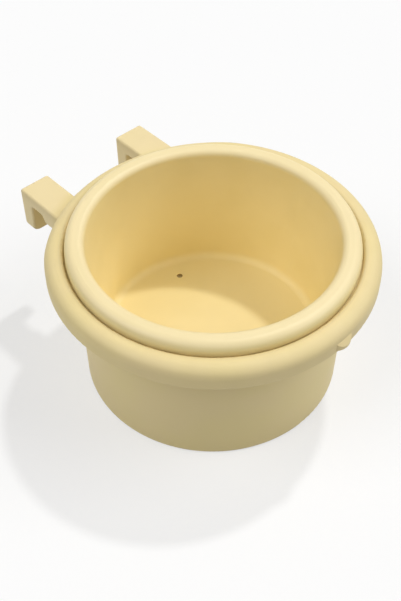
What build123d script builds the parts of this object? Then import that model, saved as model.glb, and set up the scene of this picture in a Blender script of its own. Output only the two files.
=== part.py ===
"""Hook-on seed cup for a cage: an outer cup with a rolled flange and two hooks, and a seed bowl that lifts out.

Millimetres, +Z up. The origin is the centre of the outer cup's base, and the hooks point along +Y.
"""

import os
from math import atan2, cos, radians, sin, sqrt, tan

from build123d import *

# Outer cup: a thin moulded shell that stands on its flat base
cup_base_radius = 39.3  # outside of the wall at the table
cup_draft = 1.05  # degrees that the wall leans outwards
cup_wall = 1.5
cup_floor = 1.6
cup_base_edge = 1.2  # round on the outside of the base
cup_floor_corner = 2.0  # round between wall and floor, inside
cup_mouth_edge = 0.5  # round where the wall meets the seat

# Flange: turned over and down like a rolled rim, hollow underneath
flange_top = 48.3  # height above the table
flange_width = 5.73  # flat and round top, outside the seat
flange_skirt = 7.0  # height of the turned-down skirt, from the top
flange_wall = 1.6
flange_round = 3.4  # upper outer corner
flange_lip = 0.7  # round on the skirt's lower edges
flange_root = 1.0  # round under the flange, against the wall
back_flat = 1.25  # how far its outside is drawn in on the hooks' side
back_ease = 2.5  # how much larger the radius of that drawn-in arc is
back_blend = 30.0  # radius that joins the arc to the rest of the outline

# Seat: a shallow step round the mouth that the bowl's rim drops into
seat_depth = 1.2
seat_edge = 1.0
seat_clearance = 0.3  # radial gap between rim and step

# Seed bowl: hangs in the outer cup by its rolled rim
bowl_clearance = 0.74  # radial gap to the outer cup's wall at the mouth
bowl_wall = 1.5
bowl_floor = 1.5
bowl_draft = 4.89  # degrees that the wall leans outwards
bowl_corner = 2.4  # round between wall and floor, inside
under_bowl_gap = 7.5  # free height between the two floors
rim_overhang = 4.54  # how far the rim stands out past the bowl's wall
rim_height = 4.45  # above the seat
rim_round = 2.5  # outer top corner
rim_land = 1.26  # left flat between the rim's two top rounds
rim_lip = 0.4  # round on the rim's lower edges

# Dimple left in the bowl's floor by the mould
dimple_radius = 0.95
dimple_depth = 0.8
dimple_offset = 25.8  # from the bowl's axis
dimple_angle = 70.7  # degrees from +X

# Hooks: two inverted U shapes that hang over a cage bar
hook_spacing = 38.1  # three spacings of 12.7 mm between cage bars
hook_width = 10.5  # passes between bars at that spacing
hook_drop = 4.4  # from the flange's top down to the hook's top
hook_arm = 4.2
hook_slot = 5.0  # width of the slot under the arm
hook_leg = 5.4  # thickness of the outer leg under the arm
hook_leg_taper = 0.4  # lost from each face of the leg, down to its tip
hook_leg_length = 14.9  # from the hook's top to the tip
hook_stand = 2.2  # from the flange to the slot's near side, under the arm
hook_stand_taper = 1.75  # how far that side falls back, down to the block's foot
hook_tip_round = 2.4  # corners of the tip, seen from behind
hook_edge = 0.8  # every edge of the hook
hook_flare = 1.2  # round where the arm's sides meet the skirt

# Blocks under the flange, one to carry each hook
block_depth = 4.7  # below the skirt
block_setback = 1.2  # from the flange's outside to the block's face
block_round = 1.8  # lower corners

# Small tab on the outside of the skirt, on the far side from the hooks
tab_angle = -87.4  # degrees from +X
tab_reach = 1.15  # out of the skirt
tab_round = 4.5  # radius of its face, in plan
tab_rise = 0.9  # from the skirt's lower edge to the tab
tab_face = 1.3  # height of its upright face
tab_ramp = 2.6  # height of the slope that leads it back into the flange
tab_edge = 0.6

# Heights that follow
seat_height = flange_top - seat_depth
flange_underside = seat_height - flange_wall
skirt_bottom = flange_top - flange_skirt
bowl_underside = cup_floor + under_bowl_gap
bowl_floor_top = bowl_underside + bowl_floor
rim_top = seat_height + rim_height
hook_top = flange_top - hook_drop
slot_top = hook_top - hook_arm
tip_bottom = hook_top - hook_leg_length
block_bottom = skirt_bottom - block_depth


def cup_outside(height):
    """Radius of the outer cup's wall, outside, at a height."""
    return cup_base_radius + height * tan(radians(cup_draft))


def bowl_outside(height):
    """Radius of the seed bowl's wall, outside, at a height."""
    fall = (seat_height - height) * tan(radians(bowl_draft))
    return cup_outside(seat_height) - cup_wall - bowl_clearance - fall


# Radii that follow
rim_radius = bowl_outside(seat_height) + rim_overhang
mouth_radius = bowl_outside(rim_top) - bowl_wall
mouth_round = rim_radius - mouth_radius - rim_round - rim_land
seat_radius = rim_radius + seat_clearance
flange_radius = seat_radius + flange_width
block_radius = flange_radius - block_setback
back_radius = flange_radius + back_ease
back_offset = back_flat + back_ease  # of that arc's centre, away from the hooks
seat_middle = (cup_outside(seat_height) + seat_radius) / 2
wall_middle = cup_outside(block_bottom) - cup_wall / 2

# Places along Y that follow, on the middle plane of a hook
hook_outer_x = (hook_spacing + hook_width) / 2
skirt_at_hook = sqrt(block_radius**2 - hook_outer_x**2)
hook_inner_end = skirt_at_hook - flange_wall / 2  # inside the block over the hook's whole width
slot_near = flange_radius + hook_stand
slot_far = slot_near + hook_slot
hook_end = slot_far + hook_leg
hook_places = (-hook_spacing / 2, hook_spacing / 2)


def tongue(bottom, top, width, corner, x=0.0):
    """Face in the XZ plane with two rounded lower corners, centred at x."""
    left, right = x - width / 2, x + width / 2
    with BuildSketch(Plane.XZ) as outline:
        with BuildLine():
            FilletPolyline(
                (left, top), (left, bottom), (right, bottom), (right, top),
                radius=[0, corner, corner, 0], close=True,
            )
        make_face()
    return outline.sketch


def flange_plan(inset):
    """Face of the flange's outline from above, moved inwards by an inset: four arcs that run into each other."""
    front, back, blend = flange_radius - inset, back_radius - inset, back_blend - inset
    blend_y = ((back - blend) ** 2 - (front - blend) ** 2 - back_offset**2) / (2 * back_offset)
    blend_x = sqrt((front - blend) ** 2 - blend_y**2)
    front_angle, back_angle = atan2(blend_y, blend_x), atan2(blend_y + back_offset, blend_x)
    middle_angle = (front_angle + back_angle) / 2
    front_end = (front * cos(front_angle), front * sin(front_angle))
    middle = (blend_x + blend * cos(middle_angle), blend_y + blend * sin(middle_angle))
    back_end = (back * cos(back_angle), back * sin(back_angle) - back_offset)
    with BuildSketch() as plan:
        with BuildLine():
            ThreePointArc((-front_end[0], front_end[1]), (0, -front), front_end)
            ThreePointArc(front_end, middle, back_end)
            ThreePointArc(back_end, (0, back - back_offset), (-back_end[0], back_end[1]))
            ThreePointArc((-back_end[0], back_end[1]), (-middle[0], middle[1]), (-front_end[0], front_end[1]))
        make_face()
    return plan.sketch


# Flange: a disc of that outline with rounded edges, hollow underneath, cut away for the seat and the mouth
with BuildPart() as flange_hollow:
    with BuildSketch(Plane.XY.offset(skirt_bottom)):
        add(flange_plan(flange_wall))
    extrude(amount=flange_underside - skirt_bottom)
    fillet(flange_hollow.edges().group_by(Axis.Z)[-1], radius=flange_round - flange_wall)

with BuildPart() as flange:
    with BuildSketch(Plane.XY.offset(skirt_bottom)):
        add(flange_plan(0))
    extrude(amount=flange_skirt)
    fillet(flange.edges().group_by(Axis.Z)[-1], radius=flange_round)
    add(flange_hollow.part, mode=Mode.SUBTRACT)
    fillet(flange.edges().group_by(Axis.Z)[0], radius=flange_lip)
    with BuildSketch(Plane.XY.offset(seat_height)):
        Circle(seat_radius)
    extrude(amount=seat_depth, mode=Mode.SUBTRACT)
    fillet(flange.edges().group_by(Axis.Z)[-1].sort_by(SortBy.LENGTH)[-1], radius=seat_edge)
    with BuildSketch(Plane.XY.offset(flange_underside)):
        Circle(cup_outside(seat_height))
    extrude(amount=flange_wall, mode=Mode.SUBTRACT)

# Blocks: strips cut from a square ring between the wall and the skirt
with BuildPart() as blocks:
    block_top = flange_underside + flange_wall / 2
    for place in hook_places:
        extrude(tongue(block_bottom, block_top, hook_width, block_round, place), amount=-flange_radius)
    with BuildSketch(Plane.XZ):
        with BuildLine():
            Polyline(
                (wall_middle, block_bottom), (block_radius, block_bottom),
                (block_radius, block_top), (wall_middle, block_top), close=True,
            )
        make_face()
    revolve(axis=Axis.Z, mode=Mode.INTERSECT)

# One hook: arm and stand, cut to the block's rounded outline from behind
with BuildPart() as hook_stand_part:
    with BuildSketch(Plane.YZ):
        with BuildLine():
            Polyline(
                (hook_inner_end, hook_top),
                (slot_far, hook_top),
                (slot_far, slot_top),
                (slot_near, slot_top),
                (slot_near - hook_stand_taper, block_bottom),
                (hook_inner_end, block_bottom),
                close=True,
            )
        make_face()
    extrude(amount=hook_width / 2, both=True)
    extrude(tongue(block_bottom, hook_top, hook_width, block_round), amount=-hook_end, mode=Mode.INTERSECT)

# The same hook's outer leg, with its rounded tip and a little draft
with BuildPart() as hook_leg_part:
    with BuildSketch(Plane.YZ):
        with BuildLine():
            Polyline(
                (slot_far, hook_top),
                (hook_end, hook_top),
                (hook_end - hook_leg_taper, tip_bottom),
                (slot_far + hook_leg_taper, tip_bottom),
                (slot_far, slot_top),
                close=True,
            )
        make_face()
    extrude(amount=hook_width / 2, both=True)
    extrude(tongue(tip_bottom, hook_top, hook_width, hook_tip_round), amount=-hook_end, mode=Mode.INTERSECT)

with BuildPart() as hook:
    add(hook_stand_part.part)
    add(hook_leg_part.part)
    inner_end = hook.faces().sort_by(Axis.Y)[0]
    fillet(hook.edges() - inner_end.edges(), radius=hook_edge)

# Flares that ease the arms' sides into the skirt, in plan
with BuildPart() as hook_flares:
    flare_bottom = skirt_bottom + flange_lip
    with BuildSketch(Plane.XY.offset(flare_bottom)) as plan:
        add(flange_plan(0))
        with Locations(*[(place, slot_near / 2) for place in hook_places]):
            Rectangle(hook_width, slot_near)
        corners = plan.vertices().filter_by_position(
            Axis.Y, hook_inner_end, flange_radius, inclusive=(False, False))
        fillet(corners, radius=hook_flare)
        add(flange_plan(flange_wall / 2), mode=Mode.SUBTRACT)
        with Locations(*[(place, slot_near / 2) for place in hook_places]):
            Rectangle(hook_width - 2 * hook_edge, slot_near, mode=Mode.SUBTRACT)
    extrude(amount=hook_top - hook_edge - flare_bottom)

# Tab: a round button that starts inside the skirt, its top sloped back into the flange
tab_inside = flange_radius - flange_wall / 2
tab_bottom = skirt_bottom + tab_rise
tab_top = tab_bottom + tab_face + tab_ramp
with BuildPart() as tab_button:
    with BuildSketch(Plane.XZ):
        with BuildLine():
            FilletPolyline(
                (0, tab_bottom), (tab_round, tab_bottom), (tab_round, tab_top), (0, tab_top),
                radius=[0, tab_edge, 0, 0], close=True,
            )
        make_face()
    revolve(axis=Axis.Z)

with BuildPart() as skirt_tab:
    with PolarLocations(flange_radius + tab_reach - tab_round, 1, start_angle=tab_angle):
        add(tab_button.part)
    with BuildSketch(Plane.XY.offset(tab_bottom)):
        Circle(tab_inside)
    extrude(amount=tab_top - tab_bottom, mode=Mode.SUBTRACT)
    with BuildSketch(Plane.XZ):
        with BuildLine():
            Polyline(
                (0, tab_bottom),
                (flange_radius + tab_reach, tab_bottom),
                (flange_radius + tab_reach, tab_bottom + tab_face),
                (tab_inside, tab_top),
                (0, tab_top),
                close=True,
            )
        make_face()
    revolve(axis=Axis.Z, mode=Mode.INTERSECT)

# Outer cup: wall, floor and seat in one turned section, with flange, blocks, hooks and tab moulded on
with BuildPart() as outer_cup:
    with BuildSketch(Plane.XZ):
        with BuildLine():
            FilletPolyline(
                (0, 0),
                (cup_base_radius, 0),
                (cup_outside(flange_underside), flange_underside),
                (seat_middle, flange_underside),
                (seat_middle, seat_height),
                (cup_outside(seat_height) - cup_wall, seat_height),
                (cup_outside(cup_floor) - cup_wall, cup_floor),
                (0, cup_floor),
                radius=[0, cup_base_edge, flange_root, 0, 0, cup_mouth_edge, cup_floor_corner, 0],
                close=True,
            )
        make_face()
    revolve(axis=Axis.Z)
    add(flange.part)
    add(blocks.part)
    with Locations(*[(place, 0, 0) for place in hook_places]):
        add(hook.part)
    add(hook_flares.part)
    add(skirt_tab.part)

# Seed bowl: tapered wall and floor with a rolled rim, turned in one section
with BuildPart() as seed_bowl:
    rim_inside = rim_top - bowl_wall
    with BuildSketch(Plane.XZ):
        with BuildLine():
            FilletPolyline(
                (0, bowl_underside),
                (bowl_outside(bowl_underside), bowl_underside),
                (bowl_outside(rim_inside), rim_inside),
                (rim_radius - bowl_wall, rim_inside),
                (rim_radius - bowl_wall, seat_height),
                (rim_radius, seat_height),
                (rim_radius, rim_top),
                (mouth_radius, rim_top),
                (bowl_outside(bowl_floor_top) - bowl_wall, bowl_floor_top),
                (0, bowl_floor_top),
                radius=[
                    0, bowl_corner + bowl_wall, mouth_round - bowl_wall, rim_round - bowl_wall, rim_lip, rim_lip,
                    rim_round, mouth_round, bowl_corner, 0,
                ],
                close=True,
            )
        make_face()
    revolve(axis=Axis.Z)
    dimple_x = dimple_offset * cos(radians(dimple_angle))
    dimple_y = dimple_offset * sin(radians(dimple_angle))
    with Locations((dimple_x, dimple_y, bowl_floor_top)):
        Hole(radius=dimple_radius, depth=dimple_depth)

os.makedirs("parts", exist_ok=True)
outer_cup.part.label = "outer_cup"
export_step(outer_cup.part, "parts/outer_cup.step")
seed_bowl.part.label = "seed_bowl"
export_step(seed_bowl.part, "parts/seed_bowl.step")
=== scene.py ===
"""Hook-on seed cup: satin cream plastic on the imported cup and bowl, and a plain studio stage.

Metres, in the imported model's own frame: +Z up, hooks along +Y, origin in the middle of the base.
"""

from math import pi, radians

import bpy
from mathutils import Matrix, Vector


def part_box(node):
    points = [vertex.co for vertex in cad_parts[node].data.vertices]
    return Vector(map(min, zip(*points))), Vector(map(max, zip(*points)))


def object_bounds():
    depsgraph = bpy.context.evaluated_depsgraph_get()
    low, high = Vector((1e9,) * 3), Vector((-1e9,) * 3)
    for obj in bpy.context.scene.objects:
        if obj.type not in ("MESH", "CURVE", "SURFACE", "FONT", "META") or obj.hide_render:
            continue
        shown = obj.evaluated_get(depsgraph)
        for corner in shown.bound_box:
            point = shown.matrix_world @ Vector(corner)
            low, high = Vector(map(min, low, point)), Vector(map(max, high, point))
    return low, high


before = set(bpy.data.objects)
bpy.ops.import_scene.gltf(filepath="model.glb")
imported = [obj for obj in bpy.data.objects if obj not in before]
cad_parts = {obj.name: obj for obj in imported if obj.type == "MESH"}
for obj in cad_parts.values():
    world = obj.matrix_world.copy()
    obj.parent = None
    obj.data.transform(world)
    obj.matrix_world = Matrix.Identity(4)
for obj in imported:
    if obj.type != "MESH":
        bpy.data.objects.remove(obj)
cad_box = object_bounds()
cup_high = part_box("outer_cup")[1]
bowl_low, bowl_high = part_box("seed_bowl")

bl_info = {
    "name": "Hook-on Seed Cup",
    "version": (1, 0, 0),
    "blender": (4, 5, 0),
    "location": "View3D > Sidebar > Seed Cup",
    "description": "Finishes a moulded cage cup and its lift-out bowl on a plain studio stage",
    "category": "Object",
}


# Places of the marks: where each one starts and where it is full, by radius or by height

seat_clearance = 0.0003
bowl_floor = bowl_low.z + 0.0015
hook_reach = (cup_high.x + 0.001, cup_high.x + 0.004)
flange_height = (0.040, 0.043)
flange_face = (cup_high.z - 0.0012, cup_high.z - 0.0006)
seat_corner = (0.0009, 0.0001)
base_edge = (0.0016, 0.0002)
rim_edge = (bowl_high.x - 0.0012, bowl_high.x - 0.0003)
rim_underside = (cup_high.z, cup_high.z - 0.0010)
rim_crest = (bowl_high.z - 0.0018, bowl_high.z - 0.0003)
dimple_mouth = (bowl_floor - 0.00005, bowl_floor - 0.0002)
dimple_bottom = (bowl_low.z + 0.0002, bowl_low.z + 0.0004)
dimple_reach = (0.030, 0.029)

# Noise levels between which a pattern comes in

drift_levels = (0.36, 0.66)
# Patches of the painted shade in the seat and under the bowl's rim come in between these levels.
dust_and_shade_levels = (0.25, 0.65)
scuff_levels = (0.45, 0.7)

# Sizes and shares of the patterns

cup_shift = 0.37
bowl_shift = 0.91
patch_size = 0.006
core_ring_width = 0.0011
smear_share = 0.35
swell_share = 0.5
# How much darker the flange is painted at the least, and how much more the patches add.
flange_dark_least = 0.6
flange_dark_spread = 0.8
mark_roughness = 0.3
plastic_ior = 1.49
plastic_shine = 0.45
fibre_size = 0.002
fibre_tone = 0.985

# Stage

white = (1.0, 1.0, 1.0, 1.0)
floor_gap = 0.00005
sensor_side = 36.0
nearest_seen = 0.005


# Shader maths

class Value:
    """One shader output that takes part in Python arithmetic; each operation adds a Math node."""

    def __init__(self, graph, socket):
        self.graph = graph
        self.socket = socket

    def math(self, operation, *others):
        """This value and up to two others through one Math node."""
        sockets = dict(enumerate((self, *others)))
        return self.graph.node("ShaderNodeMath", {"operation": operation}, sockets)

    def output(self, name):
        """Another output of the node that this value comes from."""
        return Value(self.graph, self.socket.node.outputs[name])

    def __add__(self, other):
        return self.math("ADD", other)

    __radd__ = __add__

    def __sub__(self, other):
        return self.math("SUBTRACT", other)

    def __rsub__(self, other):
        return self.graph.node("ShaderNodeMath", {"operation": "SUBTRACT"}, {0: other, 1: self})

    def __mul__(self, other):
        return self.math("MULTIPLY", other)

    __rmul__ = __mul__

    def __abs__(self):
        return self.math("ABSOLUTE")

    def __pow__(self, power):
        return self.math("POWER", power)


class Graph:
    """The node tree of one material or world."""

    def __init__(self, tree):
        self.tree = tree
        tree.nodes.clear()

    def node(self, kind, settings=None, sockets=None, output=0):
        """Adds a node: its settings first, then numbers or links for its sockets.

        Returns one of its outputs, or the node itself where it has none.
        """
        made = self.tree.nodes.new(kind)
        for name, setting in (settings or {}).items():
            setattr(made, name, setting)
        for key, given in (sockets or {}).items():
            if isinstance(given, Value):
                self.tree.links.new(given.socket, made.inputs[key])
            else:
                made.inputs[key].default_value = given
        return Value(self, made.outputs[output]) if made.outputs else made

    def place(self):
        """The point on the piece, in metres, its height and its distance from the cup's axis."""
        point = self.node("ShaderNodeTexCoord", output="Object")
        x = self.node("ShaderNodeSeparateXYZ", None, {0: point})
        y, z = x.output("Y"), x.output("Z")
        return point, z, (x * x + y * y) ** 0.5

    def noise(self, point, size, detail):
        """Soft noise from 0 to 1 whose patches are about size metres wide."""
        sockets = {"Vector": point, "Scale": 1 / size, "Detail": detail}
        return self.node("ShaderNodeTexNoise", None, sockets, "Fac")

    def rings(self, radius, width):
        """Uneven rings round the cup's axis, 0 to 1, about width metres wide."""
        sockets = {"W": radius, "Scale": 1 / width, "Detail": 1.0}
        return self.node("ShaderNodeTexNoise", {"noise_dimensions": "1D"}, sockets, "Fac")

    def ramp(self, value, start, end):
        """0 before start, 1 after end and a soft step between; falls where end is the lower."""
        rises = start < end
        sockets = {
            "Value": value, "From Min": min(start, end), "From Max": max(start, end),
            "To Min": 0.0 if rises else 1.0, "To Max": 1.0 if rises else 0.0}
        return self.node("ShaderNodeMapRange", {"interpolation_type": "SMOOTHSTEP"}, sockets)

    def blend(self, amount, first, second):
        """One colour turned into another by an amount from 0 to 1."""
        sockets = {0: amount, 6: opaque(first), 7: opaque(second)}
        return self.node("ShaderNodeMix", {"data_type": "RGBA"}, sockets, 2)


def opaque(colour):
    """A colour with full alpha, where it isn't a link."""
    return colour if isinstance(colour, Value) else (*colour, 1.0)


# Settings

class MouldedFinish:
    """What the cup's and the bowl's plastic have in common."""

    straw: bpy.props.FloatVectorProperty(
        name="Straw", description="Slightly deeper colour that the melt drifts towards",
        subtype="COLOR", size=3, min=0.0, max=1.0, default=(0.90, 0.750, 0.37))
    # Painted light: the paler, cooler colour that the hooks and the top of the bowl's rim are
    # painted towards, as light falling on them shows them.
    lit_tint: bpy.props.FloatVectorProperty(
        name="Pale", description="Paler colour of the parts that hands and daylight have bleached",
        subtype="COLOR", size=3, min=0.0, max=1.0, default=(0.945, 0.79, 0.485))
    # Dust, painted shade, the darker flange and the scuffed base edge all take this colour.
    dust_and_shade: bpy.props.FloatVectorProperty(
        name="Seed dust", description="Colour of the dust and grime that gather on the plastic",
        subtype="COLOR", size=3, min=0.0, max=1.0, default=(0.42, 0.30, 0.13))
    # Painted light: how far the hooks and the top of the bowl's rim are painted paler.
    lit_tint_share: bpy.props.FloatProperty(
        name="Bleach", description="How far the handled parts have turned pale",
        subtype="FACTOR", min=0.0, max=1.0, default=0.5)
    drift_size: bpy.props.FloatProperty(
        name="Drift size", description="Width of the patches of deeper colour",
        subtype="DISTANCE", unit="LENGTH", min=0.001, default=0.022)
    satin: bpy.props.FloatProperty(
        name="Satin", description="Roughness of the moulded surface",
        subtype="FACTOR", min=0.0, max=1.0, default=0.52)
    handling: bpy.props.FloatProperty(
        name="Handling", description="How much the roughness varies from hands and wiping",
        subtype="FACTOR", min=0.0, max=0.5, default=0.10)
    grain_size: bpy.props.FloatProperty(
        name="Grain size", description="Width of the mould's fine spark-eroded grain",
        subtype="DISTANCE", unit="LENGTH", min=0.0001, default=0.00045)
    grain_depth: bpy.props.FloatProperty(
        name="Grain depth", description="Depth of that grain",
        subtype="DISTANCE", unit="LENGTH", min=0.0, default=0.000012)
    waviness: bpy.props.FloatProperty(
        name="Waviness", description="Depth of the slow ripple of a cooled moulding",
        subtype="DISTANCE", unit="LENGTH", min=0.0, default=0.00003)


class CupFinish(MouldedFinish, bpy.types.PropertyGroup):
    """Finish of the outer cup."""

    cream: bpy.props.FloatVectorProperty(
        name="Cream", description="Main colour of the plastic",
        subtype="COLOR", size=3, min=0.0, max=1.0, default=(0.90, 0.742, 0.39))
    seat_radius: bpy.props.FloatProperty(
        name="Seat radius", description="Radius of the step that the bowl's rim drops into",
        subtype="DISTANCE", unit="LENGTH", default=bowl_high.x + seat_clearance)
    # Dust and painted shade: how much darker the seat's corner is painted, the crease where the
    # bowl's rim meets the flange.
    seat_dust_and_shade: bpy.props.FloatProperty(
        name="Seat dust", description="How much dust lies in the seat",
        subtype="FACTOR", min=0.0, max=1.0, default=0.55)
    # Painted shade: how much darker the flange is painted next to the bowl's rim, where the rim's
    # shadow falls.
    groove_shade: bpy.props.FloatProperty(
        name="Groove soil", description="How much grime lies on the flange next to the bowl's rim",
        subtype="FACTOR", min=0.0, max=1.0, default=0.42)
    # Painted shade: how far out from the seat that painted shadow reaches.
    groove_shade_width: bpy.props.FloatProperty(
        name="Groove width", description="How far out from the seat that grime reaches",
        subtype="DISTANCE", unit="LENGTH", min=0.0001, default=0.0026)
    # How much darker the flange and the hooks, everything above 40 to 43 mm, are painted, in
    # patches.
    flange_darkening: bpy.props.FloatProperty(
        name="Flange soil", description="How much handling and dust dull the flange and the hooks",
        subtype="FACTOR", min=0.0, max=1.0, default=0.13)
    base_scuff: bpy.props.FloatProperty(
        name="Base scuff", description="How much the base's edge is scuffed by standing on things",
        subtype="FACTOR", min=0.0, max=1.0, default=0.35)


class BowlFinish(MouldedFinish, bpy.types.PropertyGroup):
    """Finish of the lift-out bowl."""

    cream: bpy.props.FloatVectorProperty(
        name="Cream", description="Main colour of the plastic",
        subtype="COLOR", size=3, min=0.0, max=1.0, default=(0.93, 0.782, 0.405))
    # Dust and painted shade: how much darker the dimple in the floor is painted.
    pit_dust_and_shade: bpy.props.FloatProperty(
        name="Dimple dust", description="How much dust has packed into the dimple in the floor",
        subtype="FACTOR", min=0.0, max=1.0, default=0.8)
    # Dust and painted shade: how much darker the rim's outer face is painted where it sits down in
    # the seat, between the bowl and the cup.
    rim_dust_and_shade: bpy.props.FloatProperty(
        name="Rim dust", description="How much dust lies under the rim's outer edge",
        subtype="FACTOR", min=0.0, max=1.0, default=0.45)
    ring_depth: bpy.props.FloatProperty(
        name="Ring depth", description="Depth of the faint turning rings left by the mould's core",
        subtype="DISTANCE", unit="LENGTH", min=0.0, default=0.000006)
    rim_polish: bpy.props.FloatProperty(
        name="Rim polish", description="How much smoother fingers have made the top of the rim",
        subtype="FACTOR", min=0.0, max=0.3, default=0.08)


class StudioStage(bpy.types.PropertyGroup):
    """Floor, light and camera."""

    floor_size: bpy.props.FloatProperty(
        name="Floor size", description="Length of the floor's sides",
        subtype="DISTANCE", unit="LENGTH", default=8.0)
    floor_grey: bpy.props.FloatProperty(
        name="Floor paleness", description="How pale the floor looks",
        subtype="FACTOR", min=0.0, max=1.0, default=0.95)
    floor_bounce: bpy.props.FloatProperty(
        name="Floor bounce", description="How pale the floor is for the light it throws back",
        subtype="FACTOR", min=0.0, max=1.0, default=0.55)
    floor_glow: bpy.props.FloatProperty(
        name="Floor glow", description="Share of plain white in what the camera sees of the floor",
        subtype="FACTOR", min=0.0, max=1.0, default=0.56)
    ambient: bpy.props.FloatProperty(
        name="Ambient", description="Strength of the even white light from all round",
        min=0.0, default=0.21)
    key_towards: bpy.props.FloatVectorProperty(
        name="Key direction", description="Way from the cup to the main light, behind on the right",
        subtype="DIRECTION", size=3, default=(0.489, 0.104, 0.866))
    key_strength: bpy.props.FloatProperty(
        name="Key strength", description="Strength of the main light",
        min=0.0, default=1.08)
    key_width: bpy.props.FloatProperty(
        name="Key width", description="How wide the main light looks from the cup",
        subtype="ANGLE", unit="ROTATION", default=radians(4))
    right_towards: bpy.props.FloatVectorProperty(
        name="Right direction", description="Way from the cup to the soft light on the right",
        subtype="DIRECTION", size=3, default=(0.525, -0.525, 0.669))
    right_strength: bpy.props.FloatProperty(
        name="Right strength", description="Strength of the soft light on the right",
        min=0.0, default=1.10)
    left_towards: bpy.props.FloatVectorProperty(
        name="Left direction", description="Way from the cup to the soft light on the left",
        subtype="DIRECTION", size=3, default=(-0.604, 0.220, 0.766))
    left_strength: bpy.props.FloatProperty(
        name="Left strength", description="Strength of the soft light on the left",
        min=0.0, default=1.04)
    soft_width: bpy.props.FloatProperty(
        name="Soft width", description="How wide the two soft lights look from the cup",
        subtype="ANGLE", unit="ROTATION", default=radians(40))
    camera_place: bpy.props.FloatVectorProperty(
        name="Camera place", description="Where the camera stands",
        subtype="TRANSLATION", unit="LENGTH", size=3, default=(-0.14519, -0.14966, 0.24497))
    camera_heading: bpy.props.FloatProperty(
        name="Camera heading", description="Turn of the view from +Y, anticlockwise from above",
        subtype="ANGLE", unit="ROTATION", default=radians(-43.15))
    camera_pitch: bpy.props.FloatProperty(
        name="Camera pitch", description="How far the view looks down",
        subtype="ANGLE", unit="ROTATION", default=radians(46.70))
    camera_roll: bpy.props.FloatProperty(
        name="Camera roll", description="Tilt of the view about its own line",
        subtype="ANGLE", unit="ROTATION", default=radians(0.265))
    camera_lens: bpy.props.FloatProperty(
        name="Focal length", description="Focal length for a 36 mm sensor along the long side",
        subtype="DISTANCE_CAMERA", default=59.90)


# Materials

def plastic_base(graph, finish, shift):
    """Colour, roughness and relief that every moulded surface here has, before its own marks.

    The shift moves the patterns along, so that no two pieces show the same ones.
    """
    point, height, radius = graph.place()
    point = graph.node(
        "ShaderNodeVectorMath", {"operation": "ADD"}, {0: point, 1: (shift, shift, shift)})
    drift = graph.ramp(graph.noise(point, finish.drift_size, 3.0), *drift_levels)
    smears = graph.noise(point, finish.drift_size * smear_share, 4.0)
    colour = graph.blend(drift, finish.cream, finish.straw)
    roughness = finish.satin + (smears - 0.5) * finish.handling
    grain = graph.noise(point, finish.grain_size, 1.0)
    swell = graph.noise(point, finish.drift_size * swell_share, 1.0)
    relief = grain * finish.grain_depth + swell * finish.waviness
    return point, height, radius, colour, roughness, relief


def finish_plastic(graph, colour, roughness, relief):
    """Ends a plastic material: the relief in metres becomes a bump under the shader."""
    bump = graph.node(
        "ShaderNodeBump", None, {"Strength": 1.0, "Distance": 1.0, "Height": relief})
    shader = graph.node("ShaderNodeBsdfPrincipled", None, {
        "Base Color": colour, "Roughness": roughness, "Normal": bump,
        "IOR": plastic_ior, "Specular IOR Level": plastic_shine})
    graph.node("ShaderNodeOutputMaterial", None, {"Surface": shader})


def cup_plastic(finish):
    """Cream plastic of the outer cup.

    Its hooks are painted paler as painted light. Dust and painted shade darken the seat's corner,
    painted shade darkens the flange beside the bowl's rim, the flange and the hooks are painted
    darker, and the base edge is scuffed.
    """
    material = bpy.data.materials.new("outer_cup_cream")
    material.use_nodes = True
    graph = Graph(material.node_tree)
    point, height, radius, colour, roughness, relief = plastic_base(graph, finish, cup_shift)
    patches = graph.noise(point, patch_size, 3.0)
    hooks = graph.ramp(radius, *hook_reach)
    # Painted light: the hooks are painted paler.
    colour = graph.blend(hooks * finish.lit_tint_share, colour, finish.lit_tint)
    past_seat = radius - finish.seat_radius
    on_top = graph.ramp(height, *flange_face)
    # Dust and painted shade: the seat's corner, the crease between the bowl's rim and the flange,
    # is painted darker in patches.
    dust_shade_mask = graph.ramp(abs(past_seat), *seat_corner) * on_top * finish.seat_dust_and_shade
    dust_shade_mask = dust_shade_mask * graph.ramp(patches, *dust_and_shade_levels)
    # Painted shade: the flange is painted darker next to the bowl's rim, the rim's shadow on it.
    groove_shade_mask = graph.ramp(past_seat, finish.groove_shade_width, 0.0) * on_top * finish.groove_shade
    scuffed = graph.ramp(height, *base_edge) * graph.ramp(patches, *scuff_levels)
    scuffed = scuffed * finish.base_scuff
    # Everything above 40 to 43 mm, the flange and the hooks, is painted darker in patches.
    darker_flange = graph.ramp(height, *flange_height) * (flange_dark_least + patches * flange_dark_spread)
    darker_flange = darker_flange * finish.flange_darkening
    marks = dust_shade_mask.math("MAXIMUM", scuffed).math("MAXIMUM", darker_flange).math("MAXIMUM", groove_shade_mask)
    # Painted shade and the real marks alike take the same darker colour.
    colour = graph.blend(marks, colour, finish.dust_and_shade)
    finish_plastic(graph, colour, roughness + marks * mark_roughness, relief)
    return material


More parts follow.
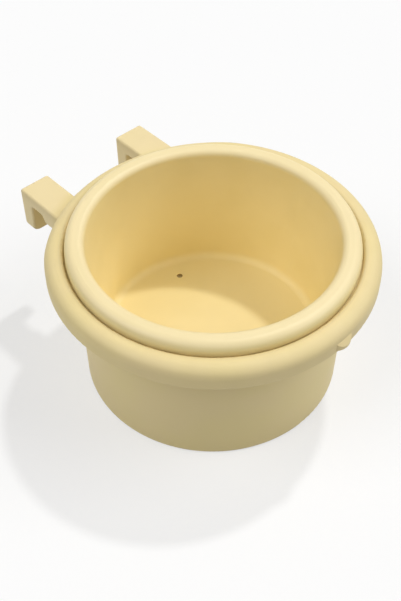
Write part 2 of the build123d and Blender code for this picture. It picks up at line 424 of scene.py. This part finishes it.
def bowl_plastic(finish):
    """Cream plastic of the bowl.

    It has turning rings and a polished rim whose top is painted paler as painted light. Dust and
    painted shade darken the rim's outer face in the seat and the dimple in the floor.
    """
    material = bpy.data.materials.new("seed_bowl_cream")
    material.use_nodes = True
    graph = Graph(material.node_tree)
    point, height, radius, colour, roughness, relief = plastic_base(graph, finish, bowl_shift)
    patches = graph.noise(point, patch_size, 3.0)
    # Dust and painted shade: the rim's outer face is painted darker in patches below the top of the
    # cup, in the crease between the bowl and the cup.
    under_rim = graph.ramp(radius, *rim_edge) * graph.ramp(height, *rim_underside)
    dust_shade_mask = under_rim * graph.ramp(patches, *dust_and_shade_levels) * finish.rim_dust_and_shade
    # Dust and painted shade: the dimple in the floor is painted darker, as its shaded wall shows.
    dimple = graph.ramp(height, *dimple_mouth) * graph.ramp(radius, *dimple_reach)
    packed = dimple * graph.ramp(height, *dimple_bottom) * finish.pit_dust_and_shade
    dust_shade_mask = dust_shade_mask.math("MAXIMUM", packed)
    # Painted light: the top of the rim is painted paler.
    crest = graph.ramp(height, *rim_crest)
    colour = graph.blend(crest * finish.lit_tint_share, colour, finish.lit_tint)
    colour = graph.blend(dust_shade_mask, colour, finish.dust_and_shade)
    roughness = roughness + dust_shade_mask * mark_roughness - crest * finish.rim_polish
    relief = relief + graph.rings(radius, core_ring_width) * finish.ring_depth
    finish_plastic(graph, colour, roughness, relief)
    return material


def seen_directly(graph):
    """1 for rays that show the backdrop itself, directly or in a gloss, and 0 for lighting rays."""
    path = graph.node("ShaderNodeLightPath", output="Is Camera Ray")
    seen = path + path.output("Is Glossy Ray") + path.output("Is Transmission Ray")
    return seen.math("MINIMUM", 1.0)


def floor_paper(stage):
    """White studio paper: it takes the shadow, and the camera sees it near to white."""
    material = bpy.data.materials.new("studio_paper")
    material.use_nodes = True
    graph = Graph(material.node_tree)
    point = graph.node("ShaderNodeTexCoord", output="Object")
    fibre = graph.noise(point, fibre_size, 3.0)
    seen = seen_directly(graph)
    paper = graph.blend(fibre, (stage.floor_grey * fibre_tone,) * 3, (stage.floor_grey,) * 3)
    tone = graph.blend(seen, (stage.floor_bounce,) * 3, paper)
    matt = graph.node("ShaderNodeBsdfPrincipled", None, {
        "Base Color": tone, "Roughness": 1.0, "Specular IOR Level": 0.0})
    glow = graph.node("ShaderNodeEmission", None, {"Color": white, "Strength": 1.0})
    mixed = graph.node("ShaderNodeMixShader", None, {0: seen * stage.floor_glow, 1: matt, 2: glow})
    graph.node("ShaderNodeOutputMaterial", None, {"Surface": mixed})
    return material


def studio_air(stage):
    """White all round: plain white where it is seen, softer where it only lights the cup."""
    world = bpy.data.worlds.new("studio_air")
    world.use_nodes = True
    graph = Graph(world.node_tree)
    soft = graph.node("ShaderNodeBackground", None, {"Color": white, "Strength": stage.ambient})
    plain = graph.node("ShaderNodeBackground", None, {"Color": white, "Strength": 1.0})
    mixed = graph.node("ShaderNodeMixShader", None, {0: seen_directly(graph), 1: soft, 2: plain})
    graph.node("ShaderNodeOutputWorld", None, {"Surface": mixed})
    return world


def give_finish(node, material):
    """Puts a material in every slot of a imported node."""
    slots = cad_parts[node].material_slots
    if not slots:
        raise RuntimeError(f"{node} has no material slot")
    for slot in slots:
        slot.material = material


# Operators

class SEEDCUP_OT_outer_cup(bpy.types.Operator):
    """Finish the outer cup, its flange, hooks and tab in satin cream plastic"""

    bl_idname = "seedcup.outer_cup"
    bl_label = "Outer Cup"
    bl_options = {"REGISTER", "UNDO"}

    def execute(self, context):
        give_finish("outer_cup", cup_plastic(context.scene.seedcup_cup))
        return {"FINISHED"}


class SEEDCUP_OT_seed_bowl(bpy.types.Operator):
    """Finish the lift-out seed bowl in satin cream plastic"""

    bl_idname = "seedcup.seed_bowl"
    bl_label = "Seed Bowl"
    bl_options = {"REGISTER", "UNDO"}

    def execute(self, context):
        give_finish("seed_bowl", bowl_plastic(context.scene.seedcup_bowl))
        return {"FINISHED"}


class SEEDCUP_OT_stage(bpy.types.Operator):
    """Set the floor, the light, the world and the camera"""

    bl_idname = "seedcup.stage"
    bl_label = "Studio Stage"
    bl_options = {"REGISTER", "UNDO"}

    def execute(self, context):
        stage = context.scene.seedcup_stage
        self.lay_floor(stage)
        self.hang_lamp("key_lamp", stage.key_towards, stage.key_strength, stage.key_width)
        self.hang_lamp("right_lamp", stage.right_towards, stage.right_strength, stage.soft_width)
        self.hang_lamp("left_lamp", stage.left_towards, stage.left_strength, stage.soft_width)
        self.stand_camera(context.scene, stage)
        context.scene.world = studio_air(stage)
        context.scene.view_settings.view_transform = "Standard"
        return {"FINISHED"}

    def lay_floor(self, stage):
        """A wide sheet of paper just under the base."""
        bpy.ops.object.select_all(action="DESELECT")
        bpy.ops.mesh.primitive_plane_add(
            size=stage.floor_size, location=(0.0, 0.0, cad_box[0].z - floor_gap))
        floor = bpy.context.object
        floor.name = "studio_floor"
        floor.data.materials.append(floor_paper(stage))

    def hang_lamp(self, name, towards, strength, width):
        """A distant lamp that shines from one side."""
        towards = Vector(towards).normalized()
        bpy.ops.object.light_add(type="SUN", location=towards)
        lamp = bpy.context.object
        lamp.name = name
        lamp.rotation_mode = "QUATERNION"
        lamp.rotation_quaternion = towards.to_track_quat("Z", "Y")
        lamp.data.energy = strength
        lamp.data.angle = width

    def stand_camera(self, scene, stage):
        """The camera at the picture's view."""
        bpy.ops.object.camera_add()
        camera = bpy.context.object
        camera.name = "picture_camera"
        turn = Matrix.Rotation(stage.camera_heading, 4, "Z")
        tilt = Matrix.Rotation(pi / 2 - stage.camera_pitch, 4, "X")
        roll = Matrix.Rotation(stage.camera_roll, 4, "Z")
        camera.matrix_world = Matrix.Translation(stage.camera_place) @ turn @ tilt @ roll
        camera.data.sensor_fit = "AUTO"
        camera.data.sensor_width = sensor_side
        camera.data.lens = stage.camera_lens
        camera.data.clip_start = nearest_seen
        scene.camera = camera


class SEEDCUP_PT_panel(bpy.types.Panel):
    """Settings and steps of the seed cup"""

    bl_idname = "SEEDCUP_PT_panel"
    bl_label = "Seed Cup"
    bl_space_type = "VIEW_3D"
    bl_region_type = "UI"
    bl_category = "Seed Cup"

    def draw(self, context):
        steps = (
            ("seedcup_cup", SEEDCUP_OT_outer_cup),
            ("seedcup_bowl", SEEDCUP_OT_seed_bowl),
            ("seedcup_stage", SEEDCUP_OT_stage),
        )
        for settings, step in steps:
            box = self.layout.box()
            box.operator(step.bl_idname)
            group = getattr(context.scene, settings)
            for prop in group.bl_rna.properties:
                if prop.identifier not in {"rna_type", "name"}:
                    box.prop(group, prop.identifier)


classes = (
    CupFinish,
    BowlFinish,
    StudioStage,
    SEEDCUP_OT_outer_cup,
    SEEDCUP_OT_seed_bowl,
    SEEDCUP_OT_stage,
    SEEDCUP_PT_panel,
)


def register():
    for cls in classes:
        bpy.utils.register_class(cls)
    bpy.types.Scene.seedcup_cup = bpy.props.PointerProperty(type=CupFinish)
    bpy.types.Scene.seedcup_bowl = bpy.props.PointerProperty(type=BowlFinish)
    bpy.types.Scene.seedcup_stage = bpy.props.PointerProperty(type=StudioStage)


def unregister():
    del bpy.types.Scene.seedcup_stage
    del bpy.types.Scene.seedcup_bowl
    del bpy.types.Scene.seedcup_cup
    for cls in reversed(classes):
        bpy.utils.unregister_class(cls)


def main():
    register()
    bpy.ops.seedcup.outer_cup()
    bpy.ops.seedcup.seed_bowl()
    bpy.ops.seedcup.stage()


if __name__ == "__main__":
    main()
